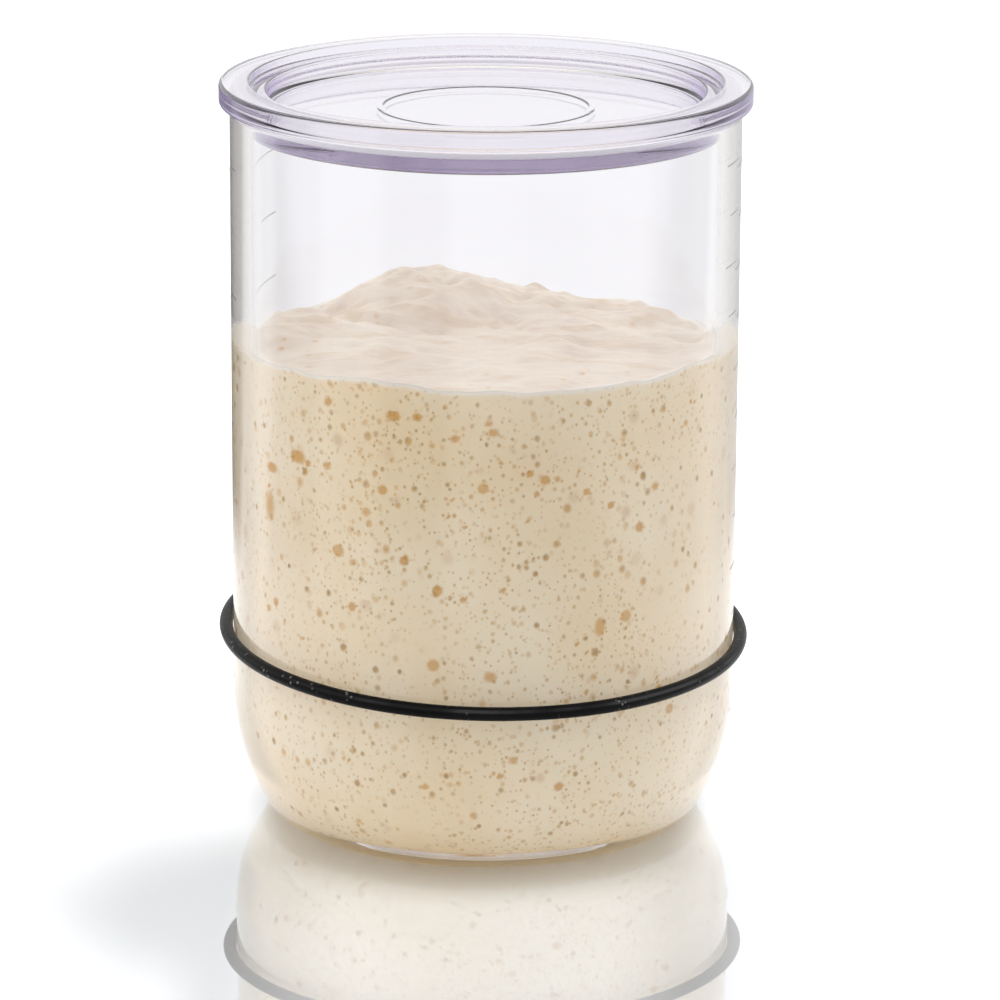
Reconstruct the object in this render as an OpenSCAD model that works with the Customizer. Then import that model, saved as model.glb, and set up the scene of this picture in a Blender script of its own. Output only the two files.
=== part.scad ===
// A wide-mouth glass jar for a sourdough starter: a straight wall on a softly rounded heel, a clear moulded
// lid that drops into the mouth, a rubber band that marks the level, and the risen starter inside.
// Millimetres. +Z is up, the origin is the middle of the foot on the table, and -Y is the front.

/* [Glass] */
// Outside diameter of the straight glass wall
jar_d = 96; // [84:1:110]
// Height of the glass from the foot to the rim
jar_h = 138; // [126:1:160]
// Thickness of the glass wall
wall_t = 4; // [3:0.25:5]
// Thickness of the glass floor at the edge of its flat inside
floor_t = 4; // [3:0.25:6]
// Radius of the long curve from the wall down to the foot
heel_side_r = 45; // [34:1:56]
// Radius of the tight curve beside the foot
heel_foot_r = 6; // [4:0.5:8]
// How far the foot lies inside the wall
heel_inset = 11; // [9:0.5:14]
// Radius of the corner between the inside floor and the heel
floor_corner_r = 9; // [7:0.5:11]
// Width of the ring that touches the table
foot_land_w = 4; // [2:0.5:6]
// Rise of the hollow under the floor
underside_rise = 1.2; // [0.6:0.1:2]
// Radius of the outer edge of the rim
rim_outer_r = 1.4; // [0.8:0.1:1.5]
// Radius of the inner edge of the rim
rim_inner_r = 1.1; // [0.6:0.1:1.4]

/* [Lid] */
// How far the lid's flange reaches past the glass
flange_over = 2; // [1:0.25:4]
// Thickness of the flange
flange_t = 4.2; // [3.6:0.1:6]
// Depth of the plug that drops into the mouth
plug_depth = 4.8; // [3.8:0.2:8]
// Gap around the plug in the mouth
plug_gap = 0.35; // [0.3:0.05:0.8]
// Thickness of the plug's wall beside the recess
plug_wall_t = 2.6; // [2:0.1:3.4]
// Width of the shallow step that leads into the recess
step_w = 3.2; // [2.4:0.1:3.6]
// Drop of that step below the top
step_drop = 1.6; // [0.8:0.1:2.4]
// Drop of the centre panel below the top; the rest of the plug is solid
panel_drop = 5.1; // [4.6:0.1:6]
// Diameter of the raised ring on the panel
ring_d = 39.6; // [24:0.4:56]
// Height of the raised ring
ring_h = 0.2; // [0.1:0.05:0.4]
// Radius of the flange's outer edges
flange_edge_r = 0.8; // [0.4:0.1:1.2]
// Radius of the fine edges of the lid
fine_edge_r = 0.5; // [0.3:0.1:0.7]
// Radius of the corner between the panel and the recess wall
recess_corner_r = 1.2; // [0.8:0.1:1.8]

/* [Band] */
// Thickness of the round rubber cord
cord_d = 2.6; // [1.6:0.1:4]
// Height of the middle of the band
band_z = 35.8; // [32:0.2:110]
// Tilt of the band as it lies on the glass
band_tilt = 2.6; // [0:0.1:3]
// Direction of the band's highest point, from +X towards +Y
band_high_side = 113.5; // [0:0.5:359.5]
// Gap between the band and the glass
band_gap = 0.3; // [0.25:0.05:0.8]

/* [Starter] */
// Height of the starter's surface at the glass
level_z = 93.6; // [60:0.2:104]
// Gap between the starter and the glass
dough_gap = 0.2; // [0.1:0.05:0.4]
// Height of the tallest mound on the surface
mound_h = 6.4; // [2:0.2:9]
// Width of the tallest mound
mound_w = 46; // [36:1:56]

/* [Hidden] */

round_fn = 180;      // sides that stand for a full turn
edge_fn = 48;        // sides of a small edge rounding
shallow_fn = 1440;   // sides of a very large, shallow arc
past = 1;            // how far a cutter runs past the face it cuts

jar_r = jar_d / 2;
bore_r = jar_r - wall_t;
foot_r = jar_r - heel_inset;
// The long heel curve ends level with its own centre, where the straight wall starts
side_x = jar_r - heel_side_r;
side_z = heel_foot_r + sqrt(pow(heel_side_r - heel_foot_r, 2) - pow(foot_r - side_x, 2));
// The inside follows the same centre, one wall thickness in, and turns onto the floor
bore_side_r = heel_side_r - wall_t;
bore_corner_r = min(floor_corner_r, side_z - floor_t - past);
bore_corner_x = side_x + sqrt(pow(bore_side_r - bore_corner_r, 2)
                              - pow(side_z - floor_t - bore_corner_r, 2));
land_inner_r = foot_r - foot_land_w;
underside_r = (pow(land_inner_r, 2) + pow(underside_rise, 2)) / (2 * underside_rise);

lid_top = jar_h + flange_t;
flange_r = jar_r + flange_over;
plug_r = bore_r - plug_gap;
plug_z = jar_h - plug_depth;
recess_r = plug_r - plug_wall_t;
step_r = recess_r + step_w;
panel_z = lid_top - panel_drop;
ring_r = ring_d / 2;
ring_cord_r = 2 * ring_h;  // the ring is the top of a buried cord

cord_r = cord_d / 2;
band_r = (jar_r + band_gap + cord_r) / cos(band_tilt);

dough_r = bore_r - dough_gap;
mound_reach = 27;    // how far the tallest mound lies from the middle
// Mounds of the surface: direction, distance from the middle, height and width as shares of the tallest
MOUNDS = [
    [116, mound_reach, 1, 1],
    [62, 15, 0.45, 1.1],
    [20, 25, 0.35, 0.8],
    [205, 20, 0.3, 0.9],
    [300, 16, 0.2, 1]
];

// The quarter of a square that a rounding takes off, with the round's centre at the origin
module corner_cut(r) {
    difference() {
        square(r + past);
        circle(r, $fn = edge_fn);
    }
}

// Half outline of a disc on the axis, with rounded outer corners
module disc_outline(r, z0, z1, low_r = 0, high_r = 0) {
    difference() {
        translate([0, z0]) square([r, z1 - z0]);
        if (low_r > 0) translate([r - low_r, z0 + low_r]) rotate(-90) corner_cut(low_r);
        if (high_r > 0) translate([r - high_r, z1 - high_r]) corner_cut(high_r);
    }
}

// Half outline of a vessel: a straight wall, the long heel curve and a corner onto a flat floor.
// A plain block loses what lies outside the heel curve, then what lies outside the corner.
module vessel_outline(side_r, corner_r, corner_x, floor_z, top_z) {
    side = [side_x, side_z];
    corner = [corner_x, floor_z + corner_r];
    wall_r = side_x + side_r;
    heel_h = side_z - floor_z;
    reach = 2 * corner_r * (corner - side) / norm(corner - side);
    difference() {
        translate([0, floor_z]) square([wall_r, top_z - floor_z]);
        difference() {
            translate([corner_x, floor_z - past]) square([wall_r - corner_x + past, heel_h + past]);
            translate(side) circle(side_r, $fn = 2 * round_fn);
        }
        difference() {
            polygon([corner, corner + reach, [corner[0] + reach[0], floor_z - past], [corner_x, floor_z - past]]);
            translate(corner) circle(corner_r, $fn = round_fn);
        }
    }
}

// The shallow hollow under the floor, which leaves a ring to stand on
module underside_outline() {
    intersection() {
        translate([0, underside_rise - underside_r]) circle(underside_r, $fn = shallow_fn);
        translate([0, -past]) square([land_inner_r + past, underside_rise + 2 * past]);
    }
}

module cavity_outline(top_z, gap = 0) {
    vessel_outline(bore_side_r - gap, bore_corner_r - gap, bore_corner_x, floor_t + gap, top_z);
}

module glass_jar() {
    color([0.86, 0.92, 0.94, 0.35])
    rotate_extrude($fn = round_fn)
    difference() {
        vessel_outline(heel_side_r, heel_foot_r, foot_r, 0, jar_h);
        cavity_outline(jar_h + past);
        underside_outline();
        translate([jar_r - rim_outer_r, jar_h - rim_outer_r]) corner_cut(rim_outer_r);
        translate([bore_r + rim_inner_r, jar_h - rim_inner_r]) mirror([1, 0]) corner_cut(rim_inner_r);
    }
}

// The flange lies on the rim, the solid plug hangs in the mouth, and the panel on top of it is sunk in two steps
module lid() {
    color([0.85, 0.83, 0.94, 0.5])
    rotate_extrude($fn = round_fn) {
        difference() {
            union() {
                disc_outline(flange_r, jar_h, lid_top, flange_edge_r, flange_edge_r);
                disc_outline(plug_r, plug_z, jar_h + past, 2 * fine_edge_r);
            }
            disc_outline(step_r, lid_top - step_drop, lid_top + past, fine_edge_r);
            disc_outline(recess_r, panel_z, lid_top, recess_corner_r);
            translate([step_r + fine_edge_r, lid_top - fine_edge_r]) mirror([1, 0]) corner_cut(fine_edge_r);
            translate([recess_r + fine_edge_r, lid_top - step_drop - fine_edge_r])
                mirror([1, 0]) corner_cut(fine_edge_r);
        }
        translate([ring_r, panel_z + ring_h - ring_cord_r]) circle(ring_cord_r, $fn = edge_fn);
    }
}

module level_band() {
    color([0.07, 0.07, 0.08])
    translate([0, 0, band_z])
    rotate([0, 0, band_high_side])
    rotate([0, -band_tilt, 0])
    rotate_extrude($fn = round_fn)
    translate([band_r, 0]) circle(cord_r, $fn = edge_fn);
}

// One low mound: the top of a ball that is buried below the surface
module mound(direction, distance, height, width) {
    ball_r = (pow(width / 2, 2) + pow(height, 2)) / (2 * height);
    rotate(direction)
    translate([distance, 0, level_z + height - ball_r])
    sphere(ball_r, $fn = 2 * round_fn);
}

module sourdough_starter() {
    color([0.92, 0.86, 0.77]) {
        rotate_extrude($fn = round_fn) cavity_outline(level_z, dough_gap);
        for (m = MOUNDS)
            intersection() {
                mound(m[0], m[1], m[2] * mound_h, m[3] * mound_w);
                translate([0, 0, level_z - past]) cylinder(r = dough_r, h = mound_h + 2 * past, $fn = round_fn);
            }
    }
}

glass_jar();
lid();
level_band();
sourdough_starter();
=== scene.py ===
import logging
import math
from dataclasses import dataclass
from enum import Enum

import bmesh
import bpy
import numpy as np
from mathutils import Euler, Matrix, Vector


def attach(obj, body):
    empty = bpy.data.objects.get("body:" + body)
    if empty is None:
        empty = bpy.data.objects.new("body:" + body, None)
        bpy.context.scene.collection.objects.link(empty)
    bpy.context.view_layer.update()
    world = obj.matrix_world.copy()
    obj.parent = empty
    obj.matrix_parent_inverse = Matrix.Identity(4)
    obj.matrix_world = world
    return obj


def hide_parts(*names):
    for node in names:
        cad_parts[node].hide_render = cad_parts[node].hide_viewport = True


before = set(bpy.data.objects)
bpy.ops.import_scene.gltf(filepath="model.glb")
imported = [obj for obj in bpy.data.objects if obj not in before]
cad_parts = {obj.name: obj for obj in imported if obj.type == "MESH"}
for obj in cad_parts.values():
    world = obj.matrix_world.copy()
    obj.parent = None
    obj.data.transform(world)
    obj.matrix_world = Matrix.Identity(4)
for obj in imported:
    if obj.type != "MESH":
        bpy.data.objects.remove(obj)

MM = 0.001
SEED = 7
WHITE = (1.0, 1.0, 1.0, 1.0)

Colour = tuple[float, float, float, float]
Point = tuple[float, float]

logging.basicConfig(level=logging.INFO, format="%(message)s")
log = logging.getLogger("starter_jar")


# ---------------------------------------------------------------- node trees


class Wire:
    """One socket of a node tree. Arithmetic on it adds Math nodes to that tree."""

    def __init__(self, tree: "Tree", socket: bpy.types.NodeSocket) -> None:
        """Remembers the tree and the socket."""
        self.tree = tree
        self.socket = socket

    def maths(self, operation: str, *others: "Wire | float") -> "Wire":
        """Adds one Math node that starts from this value."""
        return self.tree.maths(operation, self, *others)

    def __add__(self, other: "Wire | float") -> "Wire":
        """self + other."""
        return self.maths("ADD", other)

    def __radd__(self, other: float) -> "Wire":
        """other + self."""
        return self.tree.maths("ADD", other, self)

    def __sub__(self, other: "Wire | float") -> "Wire":
        """self - other."""
        return self.maths("SUBTRACT", other)

    def __rsub__(self, other: float) -> "Wire":
        """other - self."""
        return self.tree.maths("SUBTRACT", other, self)

    def __mul__(self, other: "Wire | float") -> "Wire":
        """self * other."""
        return self.maths("MULTIPLY", other)

    def __rmul__(self, other: float) -> "Wire":
        """other * self."""
        return self.tree.maths("MULTIPLY", other, self)

    def __truediv__(self, other: "Wire | float") -> "Wire":
        """self / other."""
        return self.maths("DIVIDE", other)

    def __rtruediv__(self, other: float) -> "Wire":
        """other / self."""
        return self.tree.maths("DIVIDE", other, self)

    def __abs__(self) -> "Wire":
        """The distance from nought."""
        return self.maths("ABSOLUTE")

    def most(self, other: "Wire | float") -> "Wire":
        """The larger of the two."""
        return self.maths("MAXIMUM", other)

    def step(self, low: float, high: float) -> "Wire":
        """Eases from 0 to 1; the two ends may be the wrong way round.

        Args:
            low: Where the result is 0.
            high: Where the result is 1.

        Returns:
            The eased value.
        """
        if low > high:
            return 1 - self.step(high, low)
        return self.tree.add("ShaderNodeMapRange", {"interpolation_type": "SMOOTHSTEP"},
                             {"Value": self, "From Min": low, "From Max": high})


class Tree:
    """A shader or geometry node tree with one method that makes every node."""

    def __init__(self, nodes: bpy.types.NodeTree) -> None:
        """Empties the tree and keeps it."""
        nodes.nodes.clear()
        self.nodes = nodes

    def add(self, kind: str, settings: dict | None = None, inputs: dict | None = None,
            output: int | str = 0) -> Wire:
        """Adds one node.

        Args:
            kind: The node's type.
            settings: The node's own settings, set first.
            inputs: Values or wires by socket name or number.
            output: Which result to return.

        Returns:
            That result, or a wire without a socket for a node that has none.
        """
        node = self.nodes.nodes.new(kind)
        for name, value in (settings or {}).items():
            setattr(node, name, value)
        for key, value in (inputs or {}).items():
            if isinstance(value, Wire):
                self.nodes.links.new(value.socket, node.inputs[key])
            else:
                node.inputs[key].default_value = value
        return Wire(self, node.outputs[output] if len(node.outputs) else None)

    def maths(self, operation: str, *values: Wire | float) -> Wire:
        """Adds one Math node."""
        return self.add("ShaderNodeMath", {"operation": operation}, dict(enumerate(values)))

    def vector(self, operation: str, *values: Wire | tuple, output: str = "Vector") -> Wire:
        """Adds one Vector Math node."""
        return self.add("ShaderNodeVectorMath", {"operation": operation}, dict(enumerate(values)), output)

    def split(self, vector: Wire) -> list[Wire]:
        """The three parts of a vector."""
        parts = self.add("ShaderNodeSeparateXYZ", {}, {0: vector}).socket.node.outputs
        return [Wire(self, part) for part in parts]

    def upwards(self, height: Wire) -> Wire:
        """A vector along Z of that length."""
        return self.add("ShaderNodeCombineXYZ", {}, {2: height})

    def mix(self, factor: Wire | float, first: Wire | Colour, second: Wire | Colour) -> Wire:
        """Mixes two colours by a factor."""
        return self.add("ShaderNodeMix", {"data_type": "RGBA"}, {0: factor, 6: first, 7: second}, 2)

    def blend(self, factor: Wire | float, first: Wire, second: Wire) -> Wire:
        """Mixes two shaders by a factor."""
        return self.add("ShaderNodeMixShader", {}, {0: factor, 1: first, 2: second})

    def rays(self, *kinds: str) -> list[Wire]:
        """Whether a ray is of each of these kinds, such as "Glossy"."""
        path = self.add("ShaderNodeLightPath").socket.node
        return [Wire(self, path.outputs[f"Is {kind} Ray"]) for kind in kinds]


class ShaderTree(Tree):
    """The node tree of one material."""

    def __init__(self, material: bpy.types.Material) -> None:
        """Starts the material's tree afresh."""
        material.use_nodes = True
        super().__init__(material.node_tree)

    def place(self) -> Wire:
        """Where a point lies on the object, in metres."""
        return self.add("ShaderNodeTexCoord", {}, {}, "Object")

    def up(self) -> Wire:
        """How far the surface faces up, from -1 to 1."""
        return self.split(self.add("ShaderNodeNewGeometry", {}, {}, "Normal"))[2]

    def carried(self, name: str) -> Wire:
        """A value that the mesh carries under that name."""
        return self.add("ShaderNodeAttribute", {"attribute_name": name}, {}, "Fac")

    def noise(self, place: Wire, scale: float, detail: float = 3.0, rough: float = 0.5) -> Wire:
        """Smooth noise, about 0.5 on average."""
        return self.add("ShaderNodeTexNoise", {},
                        {"Vector": place, "Scale": scale, "Detail": detail, "Roughness": rough})

    def bump(self, height: Wire, depth: float) -> Wire:
        """A bump from a height between 0 and 1, with its depth in metres."""
        return self.add("ShaderNodeBump", {}, {"Height": height, "Distance": depth, "Strength": 1.0}, "Normal")

    def body(self, colour: Wire | Colour, rough: Wire | float, others: dict | None = None) -> Wire:
        """A Principled shader of a colour and roughness, with its other sockets by name."""
        sockets = {"Base Color": colour, "Roughness": rough} | (others or {})
        return self.add("ShaderNodeBsdfPrincipled", {}, sockets)

    def finish(self, surface: Wire, volume: Wire | None = None) -> None:
        """Links the shaders to the material's output."""
        links = {"Surface": surface} | ({"Volume": volume} if volume else {})
        self.add("ShaderNodeOutputMaterial", {}, links)


def srgb(red: int, green: int, blue: int) -> Colour:
    """A screen colour as a linear one.

    Args:
        red: From 0 to 255, as green and blue.
        green: The second channel.
        blue: The third channel.

    Returns:
        The colour with full alpha.
    """
    def linear(c: float) -> float:
        """One channel from 0 to 1."""
        return c / 12.92 if c <= 0.04045 else ((c + 0.055) / 1.055) ** 2.4

    return (linear(red / 255), linear(green / 255), linear(blue / 255), 1.0)


# ---------------------------------------------------------------- finishes


@dataclass(frozen=True)
class ClearFinish:
    """A smooth clear solid, tinted where it is thick and veiled where it turns away, where it also takes painted
    shade, a grey tint that is darker on the left; places are in millimetres.
    """

    name: str
    ior: float
    tint: Colour
    density: float
    # Grey tints for where the solid turns away, painted shade; the second, darker one is for the left side
    rim: Colour
    rim_left_painted_shade: Colour
    veil: Colour
    veil_share: float
    turn_from: float
    turn_to: float
    outside_r: float = 0.0
    lip_z: float = 0.0
    foot_z: float = 3.2
    smear_z: float = 0.0
    upright: bool = False
    ripple: float = 0.0
    # Pale tone of the painted highlight on the lip
    lip_painted_highlight: Colour = srgb(236, 232, 242)
    # Warm painted shade and reflection of the starter for the foot
    foot_painted_shade: Colour = srgb(208, 180, 130)
    smear_tone: Colour = srgb(238, 227, 212)

    def material(self) -> bpy.types.Material:
        """Builds the material.

        Returns:
            Clear to light from lamps and from the starter, refracting to everything else.
        """
        made = bpy.data.materials.new(self.name)
        tree = ShaderTree(made)
        place = tree.place()
        x, y, z = tree.split(place)
        facing = tree.add("ShaderNodeLayerWeight", {}, {"Blend": 0.5}, "Facing")
        turn = facing.step(self.turn_from, self.turn_to)
        share: Wire | float = self.veil_share
        tone: Wire | Colour = self.veil
        if self.outside_r:
            outer = self.outside_r * MM
            turn = turn * (x * x + y * y).step((outer - MM) ** 2, outer ** 2)
        if self.upright:
            turn = turn * abs(tree.up()).step(0.7, 0.2)
        if self.lip_z:
            # Painted highlight: the lip takes a pale veil
            lip = z.step((self.lip_z - 0.5) * MM, self.lip_z * MM)
            # Painted warm shade and reflection of the starter: the foot takes a tan veil
            foot = z.step((self.foot_z + 1.0) * MM, self.foot_z * MM)
            for mask, veiled in ((lip, 0.85), (foot, 0.35)):
                turn, share = (mask * 0.9).most(turn), (mask * veiled).most(share)
            tone = tree.mix(foot, tree.mix(lip, tone, self.lip_painted_highlight), self.foot_painted_shade)
        if self.smear_z:
            smear = self._smear(tree, place)
            turn = (smear * facing.step(0.50, 0.66) * (1 - y.step(0.0, MM))).most(turn)
            share = (smear * 0.6).most(share)
            tone = tree.mix(smear, tone, self.smear_tone)
        sockets: dict = {"IOR": self.ior, "Transmission Weight": 1.0}
        if self.ripple:
            sockets["Normal"] = tree.bump(tree.noise(place, 60.0, 1.0), self.ripple)
        # Painted shade: the edges take a grey tint, darker on the left side
        rim = tree.mix(x.step(-0.030, -0.040), self.rim, self.rim_left_painted_shade)
        edge = tree.blend(share, tree.body(rim, 0.0, sockets), tree.body(tone, 0.25))
        solid = tree.blend(turn, tree.body(WHITE, 0.0, sockets), edge)
        clear = tree.add("ShaderNodeBsdfTransparent", {}, {"Color": (0.985, 0.985, 0.985, 1)})
        bounced, shadow = tree.rays("Diffuse", "Shadow")
        depth = tree.add("ShaderNodeVolumeAbsorption", {}, {"Color": self.tint, "Density": self.density})
        tree.finish(tree.blend(shadow, tree.blend(bounced, solid, clear), clear), depth)
        return made

    def _smear(self, tree: ShaderTree, place: Wire) -> Wire:
        """Where the starter has left a haze on the sides of the glass, just over its edge.

        Args:
            tree: The material's tree.
            place: Where to look.

        Returns:
            A mask from 0 to 1.
        """
        x, y, z = tree.split(place)
        climb = abs(y).maths("MINIMUM", 18 * MM) * 0.36
        wave = tree.noise(place, 180.0, 2.0) * 2 * MM
        low, high, top = ((self.smear_z + over) * MM for over in (-0.8, 0.4, 1.8))
        return z.step(low, high) * abs(x).step(33 * MM, 38 * MM) * (z - climb + wave).step(top, high)


@dataclass(frozen=True)
class RubberFinish:
    """Black rubber, satin, with a painted highlight on its upward shoulder, fine pale specks and a slight grain."""

    name: str = "black_rubber"
    body: Colour = srgb(4, 4, 5)
    bloom: Colour = srgb(20, 19, 18)
    # Tone of the painted highlight on the cord's upper shoulder
    painted_highlight_tone: Colour = srgb(70, 70, 72)
    dust: Colour = srgb(150, 148, 142)
    grain_depth: float = 0.06 * MM

    def material(self) -> bpy.types.Material:
        """Builds the material.

        Returns:
            Dark rubber whose specks are paler and rougher than the rest.
        """
        made = bpy.data.materials.new(self.name)
        tree = ShaderTree(made)
        place = tree.place()
        cells = tree.add("ShaderNodeTexVoronoi", {"feature": "F1"}, {"Vector": place, "Scale": 900.0}, "Distance")
        specks = cells.step(0.30, 0.16) * tree.noise(place, 160.0, 2.0).step(0.52, 0.66)
        grain = tree.noise(place, 1400.0, 3.0, 0.6)
        patches = tree.noise(place, 70.0)
        up = tree.up()
        # Painted highlight: a paler tone where the cord faces up, patchy in strength
        painted_highlight = up.step(0.20, 0.50) * up.step(0.86, 0.60) * (0.15 + patches.step(0.42, 0.62) * 0.6)
        tone = tree.mix(patches.step(0.35, 0.75) * 0.5, self.body, self.bloom)
        tone = tree.mix(specks * 0.5, tree.mix(painted_highlight, tone, self.painted_highlight_tone), self.dust)
        tree.finish(tree.body(tone, 0.30 + grain * 0.12 + specks * 0.3, {
            "IOR": 1.38, "Specular IOR Level": 0.14, "Normal": tree.bump(grain + specks, self.grain_depth),
        }))
        return made


@dataclass(frozen=True)
class EnamelFinish:
    """Thin grey enamel, printed on glass, with a little wear."""

    name: str = "grey_enamel"
    body: Colour = srgb(168, 167, 166)
    thin: Colour = srgb(200, 199, 198)

    def material(self) -> bpy.types.Material:
        """Builds the material.

        Returns:
            Grey enamel with small thin spots.
        """
        made = bpy.data.materials.new(self.name)
        tree = ShaderTree(made)
        wear = tree.noise(tree.place(), 1500.0, 2.0)
        colour = tree.mix(wear.step(0.45, 0.75), self.body, self.thin)
        tree.finish(tree.body(colour, 0.35 + wear * 0.2, {"Normal": tree.bump(wear, 0.02 * MM)}))
        return made


@dataclass(frozen=True)
class DoughFinish:
    """Risen starter: cream and moist, full of fine ochre bubbles where it lies against the glass; their ochre is
    partly the starter's own tone and partly painted shade, and its sides are painted paler.
    """

    name: str = "risen_starter"
    cream: Colour = srgb(239, 216, 177)
    pale: Colour = srgb(245, 229, 200)
    # Paler tone for the left and right sides: painted light
    edge: Colour = srgb(244, 232, 216)
    skin: Colour = srgb(232, 217, 202)
    # Fill of pores, bubbles and blisters: partly the starter's own tone, partly painted shade inside the holes
    ochre: Colour = srgb(210, 158, 72)
    brown: Colour = srgb(190, 150, 86)
    amber: Colour = srgb(206, 150, 68)
    crust: Colour = srgb(236, 223, 207)
    shade: Colour = srgb(222, 200, 174)
    deep: Colour = srgb(214, 178, 140)
    pale_band: Colour = srgb(245, 238, 228)
    relief: float = 0.5 * MM
    # Tiny, fine and middling pores and smudges: cells to the metre, smallest and largest radius in cells,
    # share of cells with a pore, shift
    layers: tuple = (
        (980.0, (0.28, 0.44), 1.0, 0.013), (600.0, (0.28, 0.45), 0.85, 0.041),
        (360.0, (0.20, 0.40), 0.9, 0.031), (190.0, (0.25, 0.50), 0.4, 0.057),
    )

    def _pores(self, tree: ShaderTree, place: Wire, scale: float, size: tuple[float, float],
               share: float, shift: float) -> tuple[Wire, Wire]:
        """One layer of round pores in space, which the surface cuts at chance depths.

        Args:
            tree: The material's tree.
            place: Where to look.
            scale: Cells to the metre.
            size: Smallest and largest radius, in cells.
            share: How many cells hold a pore.
            shift: Moves the layer, so that no two are alike.

        Returns:
            How far inside a pore a point lies, from 0 to 1, and a chance value for each pore.
        """
        moved = tree.vector("ADD", place, (shift, shift * 1.7, shift * 0.6))
        cell = tree.add("ShaderNodeTexVoronoi", {"feature": "F1"}, {"Vector": moved, "Scale": scale}).socket.node
        parts = tree.add("ShaderNodeSeparateColor", {}, {0: Wire(tree, cell.outputs["Color"])}).socket.node
        held, large, chance = (Wire(tree, part) for part in parts.outputs)
        radius = (size[0] + large * large * (size[1] - size[0])) * held.step(1 - share, 1 - share + 0.01)
        inside = (radius - Wire(tree, cell.outputs["Distance"])) / (radius + 0.0001)
        return inside.step(0.0, 0.75), chance

    def material(self) -> bpy.types.Material:
        """Builds the material.

        Returns:
            Cream with four layers of pores, a mottled tone and a moist skin, rough on top.
        """
        made = bpy.data.materials.new(self.name)
        tree = ShaderTree(made)
        place = tree.place()
        side = tree.up().step(0.55, 0.25)
        top = 1 - side
        clouds, patches = tree.noise(place, 34.0), tree.noise(place, 45.0)
        crowd = tree.noise(place, 26.0, 2.0)
        wisps = tree.noise(tree.vector("MULTIPLY", place, (0.7, 2.4, 1.0)), 130.0, 6.0, 0.66)
        grains = tree.noise(place, 420.0, 4.0, 0.6)
        squat = tree.vector("MULTIPLY", place, (1.0, 1.0, 0.86))
        (tiny, tiny_tone), (fine, fine_tone), (mid, mid_tone), (smudge, smudge_tone) = (
            self._pores(tree, squat, *layer) for layer in self.layers)
        # 1 in the middle, 0.5 at the sides: it thins the small pores there, and the sides are painted paler with it,
        #                                    which is painted light
        middle = 1 - abs(tree.split(place)[0]).step(0.020, 0.042) * 0.5
        tiny = tiny * crowd.step(0.30, 0.52) * middle
        fine = fine * crowd.step(0.30, 0.5) * middle
        tone = tree.mix(clouds.step(0.3, 0.7), self.cream, self.pale)
        # Painted light: the left and right sides are paler
        tone = tree.mix((1 - middle) * 0.9, tone, self.edge)
        tone = tree.mix(smudge * smudge * side * (0.2 + smudge_tone * 0.4), tone, self.deep)
        # Pores: their fill is partly painted shade inside the holes
        for mask, chance, most in ((tiny, tiny_tone, 0.85), (fine, fine_tone, 0.85), (mid, mid_tone, 1.0)):
            inner = tree.mix(chance.step(0.45, 0.95), self.ochre, self.brown)
            tone = tree.mix(mask * side * (0.3 + chance * 0.7) * most, tone, inner)
        bubble, blister, pale_band = (tree.carried(name) for name in ("bubble", "blister", "pale_band"))
        # Bubbles and blisters: the same fill, partly painted shade
        inner = tree.mix(clouds.step(0.4, 0.6), self.ochre, self.amber)
        tone = tree.mix(bubble.step(0.05, 0.5) * side * 0.8, tone, inner)
        inner = tree.mix(blister.step(0.2, 0.9), self.amber, self.ochre)
        tone = tree.mix(blister.step(0.0, 0.8) * 0.8, tone, inner)
        tone = tree.mix(top, tone, tree.mix(patches.step(0.35, 0.65), self.skin, self.crust))
        tone = tree.mix(top * wisps.step(0.48, 0.66) * 0.6, tone, self.shade)
        # Pits on top: the same fill, partly painted shade
        tone = tree.mix(top * mid * patches.step(0.5, 0.6) * 0.5, tone, self.ochre)
        # A paler band just under the edge, where the starter lies on the glass
        tone = tree.mix(pale_band.step(0.0, 0.8) * 0.85, tone, self.pale_band)
        height = ((1 - tiny * 0.12 - fine * 0.25 - mid * (0.1 + mid_tone * 0.5)) * side
                  + top * (wisps * 1.4 + grains * 0.5))
        tree.finish(tree.body(tone, 0.34 + side * 0.12 + clouds * 0.12, {
            "IOR": 1.42, "Subsurface Weight": 0.12, "Subsurface Radius": (1.0, 0.7, 0.4),
            "Subsurface Scale": 2 * MM, "Normal": tree.bump(height, self.relief),
        }))
        return made


# ---------------------------------------------------------------- outlines and meshes


def arc(centre: Point, radius: float, start: float, end: float, steps: int) -> list[Point]:
    """Points on a round, from one direction to another, in degrees from +R towards +Z."""
    turn = [math.radians(start + (end - start) * i / steps) for i in range(steps + 1)]
    return [(centre[0] + radius * math.cos(a), centre[1] + radius * math.sin(a)) for a in turn]


def line(start: Point, end: Point, steps: int) -> list[Point]:
    """Points on a straight line, both ends included."""
    return [(start[0] + (end[0] - start[0]) * i / steps, start[1] + (end[1] - start[1]) * i / steps)
            for i in range(steps + 1)]


def tidy(outline: list[Point]) -> list[Point]:
    """Drops points that lie on the one before them.

    Args:
        outline: The outline in millimetres.

    Returns:
        The outline without them.
    """
    kept = [outline[0]]
    for p in outline[1:]:
        if math.dist(p, kept[-1]) > 0.01:
            kept.append(p)
    return kept


def apart(turn: np.ndarray, azimuth: float) -> np.ndarray:
    """How far directions lie from a given one, from -180 to 180 degrees."""
    return (turn - azimuth + 180) % 360 - 180


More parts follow.
